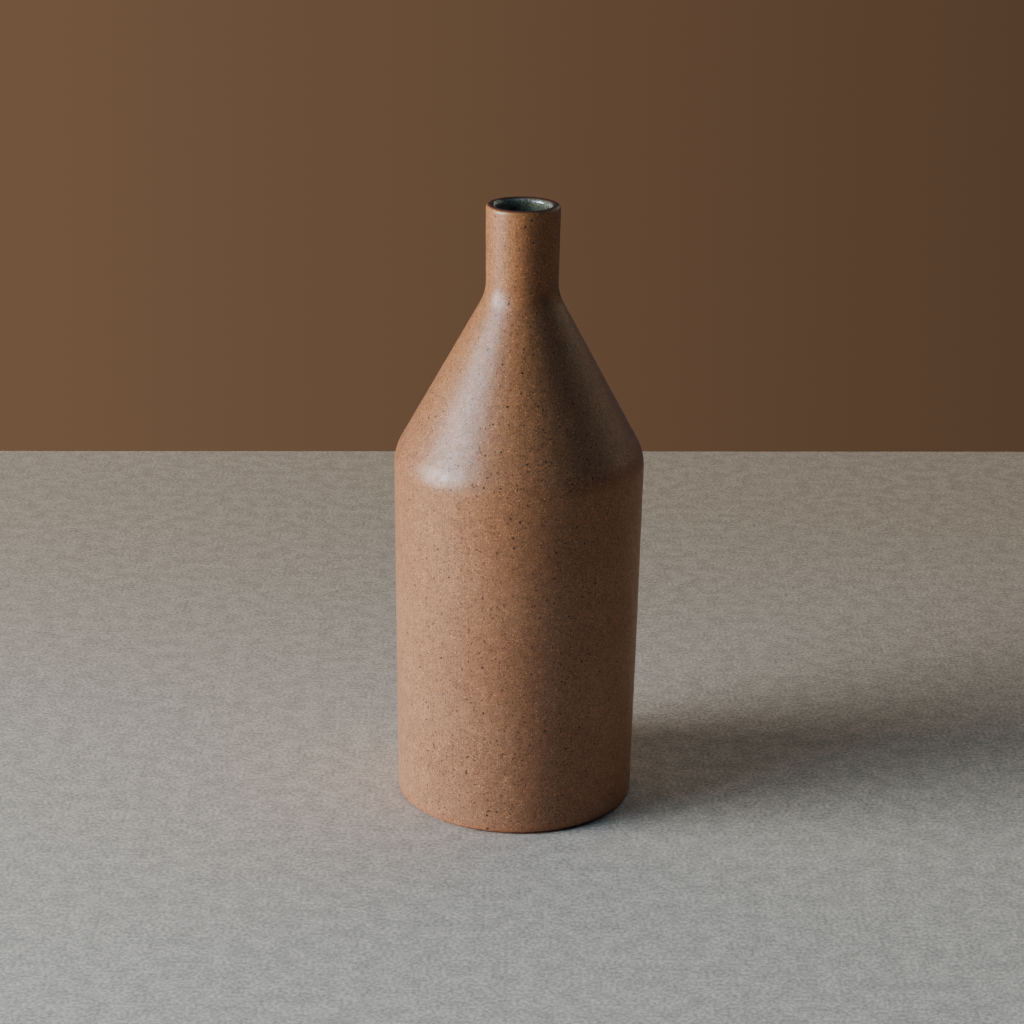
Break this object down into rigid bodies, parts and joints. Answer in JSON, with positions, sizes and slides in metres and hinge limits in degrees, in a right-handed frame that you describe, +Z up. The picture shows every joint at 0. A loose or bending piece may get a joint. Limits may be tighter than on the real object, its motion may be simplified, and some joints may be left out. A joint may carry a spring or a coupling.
{
  "type": "bud vase",
  "caption": "Tall stoneware bud vase with a straight wall, conical shoulder and narrow neck, glazed inside, for a few stems.",
  "frame": {"origin": "centre of the foot, on the surface that the vase stands on", "axes": "+Z up along the axis of the neck; the vase is the same all the way round, so +X and +Y only complete the frame, with -Y taken as the front"},
  "size_m": [0.101, 0.101, 0.25],
  "materials": {
    "speckled_clay": "satin warm tan stoneware with small iron specks",
    "bare_clay": "matt wiped raw clay",
    "rust_rim": "satin rust brown where the clay burns dark",
    "celadon_glaze": "glossy pale grey-green with brown specks"
  },
  "bodies": {
    "root": {"foot_ring": "bare_clay", "base": "speckled_clay", "body_wall": "speckled_clay", "shoulder": "speckled_clay", "neck": "speckled_clay", "lip": "rust_rim", "base_glaze": "celadon_glaze", "wall_glaze": "celadon_glaze", "shoulder_glaze": "celadon_glaze", "neck_glaze": "celadon_glaze"}
  },
  "joints": []
}
